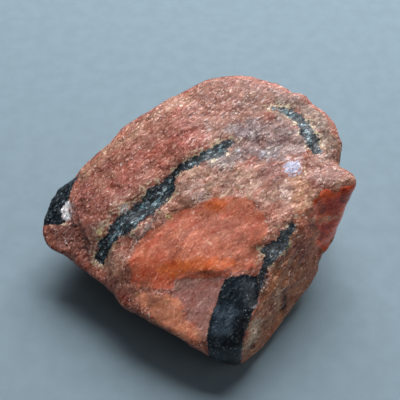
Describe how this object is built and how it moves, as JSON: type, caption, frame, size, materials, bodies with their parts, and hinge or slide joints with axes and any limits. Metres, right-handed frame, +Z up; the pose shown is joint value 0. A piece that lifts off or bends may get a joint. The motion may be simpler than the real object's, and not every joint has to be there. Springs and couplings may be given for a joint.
{
  "type": "rough triplite stone",
  "caption": "Rough hand-sized lump of salmon-pink rock with dark veins, broken to a sloping top and steep sides, lying on its flat underside.",
  "frame": {"origin": "middle of the underside's bounding box, on the surface the stone lies on", "axes": "+Z up; +X towards the glassy corner; +Y towards the high back edge, away from the pointed front"},
  "size_m": [0.0686, 0.0616, 0.0321],
  "materials": {
    "stone": "rough sugary fracture with small glints; salmon pink to brick red, with blue-black veins and an amber patch"
  },
  "bodies": {
    "root": {"stone": "stone"}
  },
  "joints": []
}
